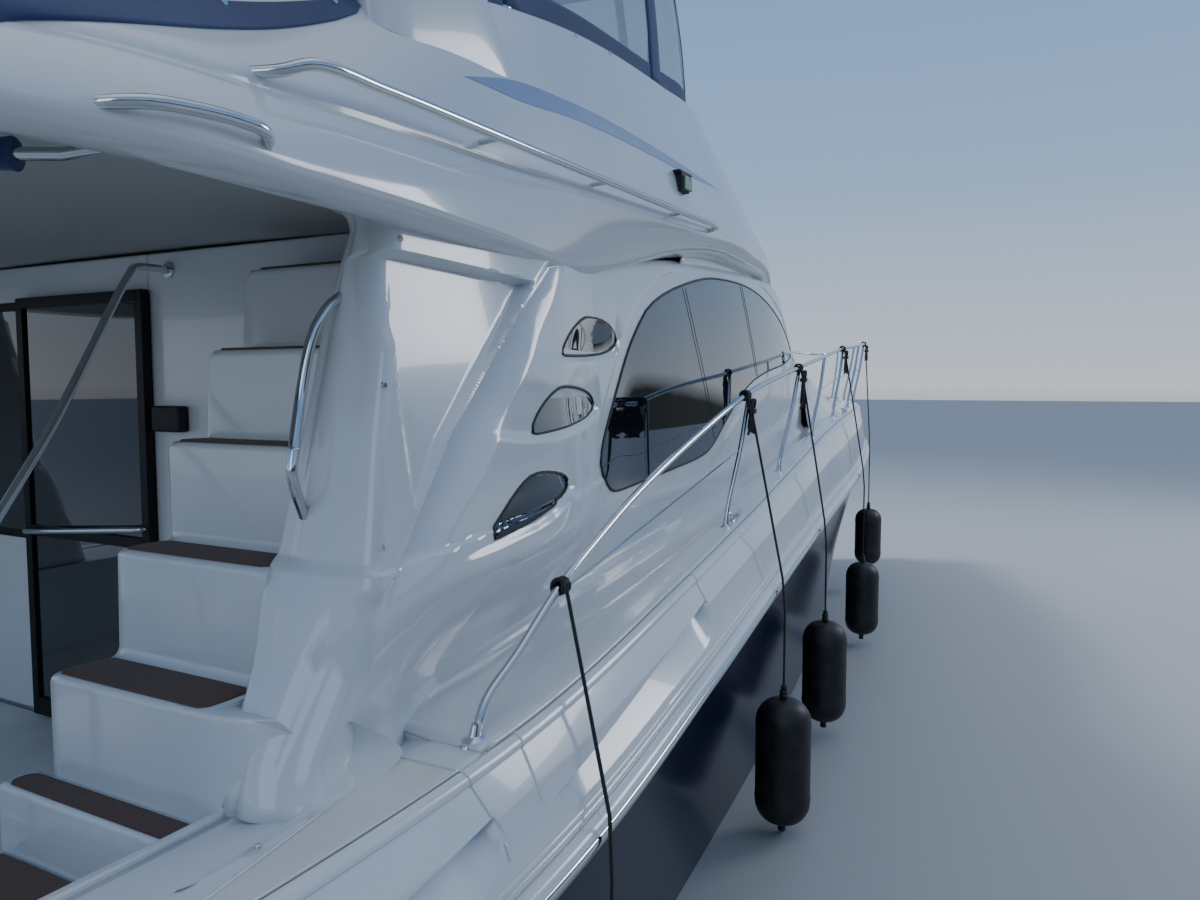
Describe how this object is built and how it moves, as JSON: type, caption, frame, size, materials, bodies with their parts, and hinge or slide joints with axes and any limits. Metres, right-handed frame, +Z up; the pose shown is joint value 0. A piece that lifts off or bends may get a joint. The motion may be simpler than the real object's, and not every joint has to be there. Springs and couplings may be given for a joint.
{
  "type": "flybridge motor yacht",
  "caption": "Flybridge motor yacht with hollow hull, open cockpit, glazed salon, canvas-topped flybridge, stairs, rails, fenders, twin propellers and rudders.",
  "frame": {"origin": "on the centreline at the waterline, at the middle of the boat's length", "axes": "+X towards the bow, +Y to port, +Z up"},
  "size_m": [14.905, 4.605, 6.6603],
  "materials": {
    "white_gelcoat": "glossy moulded gel coat",
    "navy_gelcoat": "deep gloss",
    "canvas": "woven acrylic canvas",
    "dark_glass": "tinted and polished",
    "stainless": "polished",
    "fender_vinyl": "matt black",
    "engine_paint": "enamel",
    "bronze": "cast and machined",
    "cherry": "satin varnish",
    "vinyl_cushion": "soft upholstery vinyl"
  },
  "bodies": {
    "boat": {"hull": "navy_gelcoat", "deck": "white_gelcoat", "rub_rail": "stainless", "swim_platform": "white_gelcoat", "cockpit_tub": "white_gelcoat", "cabin_tub": "white_gelcoat", "house": "white_gelcoat", "side_glass_starboard": "dark_glass", "side_glass_port": "dark_glass", "windscreen": "dark_glass", "wing_starboard": "white_gelcoat", "wing_port": "white_gelcoat", "stairs": "white_gelcoat", "stair_rail_outer": "stainless", "stair_rail_inner": "stainless", "flybridge": "white_gelcoat", "side_rail_starboard": "stainless", "side_rail_port": "stainless", "radar_arch": "white_gelcoat", "radome": "white_gelcoat", "canvas_frame": "stainless", "canvas_top": "canvas", "curtain": "canvas", "helm_console": "white_gelcoat", "helm_seat_cushion": "vinyl_cushion", "lounge_cushion": "vinyl_cushion", "cockpit_cushion": "vinyl_cushion", "settee_base": "cherry", "settee_cushion": "vinyl_cushion", "galley": "cherry", "bow_rail_starboard": "stainless", "bow_rail_port": "stainless", "pulpit": "white_gelcoat", "anchor": "stainless", "windlass": "stainless", "fender_1": "fender_vinyl", "fender_2": "fender_vinyl", "fender_3": "fender_vinyl", "fender_4": "fender_vinyl", "fender_5": "fender_vinyl", "engine_starboard": "engine_paint", "engine_port": "engine_paint", "strut_starboard": "bronze", "strut_port": "bronze"},
    "propeller_starboard": {"propeller_starboard": "bronze"},
    "propeller_port": {"propeller_port": "bronze"},
    "rudder_starboard": {"rudder_starboard": "bronze"},
    "rudder_port": {"rudder_port": "bronze"},
    "helm_wheel": {"helm_wheel": "stainless"},
    "salon_door": {"salon_door": "dark_glass"},
    "transom_gate": {"transom_gate": "white_gelcoat"},
    "cockpit_hatch": {"cockpit_hatch": "white_gelcoat"},
    "foredeck_hatch": {"foredeck_hatch": "white_gelcoat"}
  },
  "joints": [
    {"name": "propeller_starboard_turn", "type": "hinge", "parent": "boat", "child": "propeller_starboard", "pos_m": [-5.7, -0.76, -0.76], "axis": [0.9735, 0, 0.2288], "continuous": true},
    {"name": "propeller_port_turn", "type": "hinge", "parent": "boat", "child": "propeller_port", "pos_m": [-5.7, 0.76, -0.76], "axis": [0.9735, 0, 0.2288], "continuous": true},
    {"name": "rudder_starboard_turn", "type": "hinge", "parent": "boat", "child": "rudder_starboard", "pos_m": [-6.16, -0.76, -0.75], "axis": [0, 0, 1], "range_deg": [-35, 35]},
    {"name": "rudder_port_turn", "type": "hinge", "parent": "boat", "child": "rudder_port", "pos_m": [-6.16, 0.76, -0.75], "axis": [0, 0, 1], "range_deg": [-35, 35]},
    {"name": "helm_wheel_turn", "type": "hinge", "parent": "boat", "child": "helm_wheel", "pos_m": [-1.33, -0.33, 3.87], "axis": [0.9063, 0, -0.4226], "range_deg": [-350, 350]},
    {"name": "salon_door_slide", "type": "slide", "parent": "boat", "child": "salon_door", "axis": [0, 1, 0], "range_m": [0, 0.79]},
    {"name": "transom_gate_swing", "type": "hinge", "parent": "boat", "child": "transom_gate", "pos_m": [-6.384, 1.426, 1.2], "axis": [0, 0, 1], "range_deg": [-90, 0]},
    {"name": "cockpit_hatch_lift", "type": "hinge", "parent": "boat", "child": "cockpit_hatch", "pos_m": [-4.938, 0, 0.9893], "axis": [0, 1, 0], "range_deg": [0, 85]},
    {"name": "foredeck_hatch_lift", "type": "hinge", "parent": "boat", "child": "foredeck_hatch", "pos_m": [5.992, 0, 2.2543], "axis": [0, 1, 0], "range_deg": [0, 85]}
  ],
  "couplings": [
    {"joint": "rudder_port_turn", "follows": "rudder_starboard_turn", "ratio": 1},
    {"joint": "helm_wheel_turn", "follows": "rudder_starboard_turn", "ratio": 10}
  ]
}
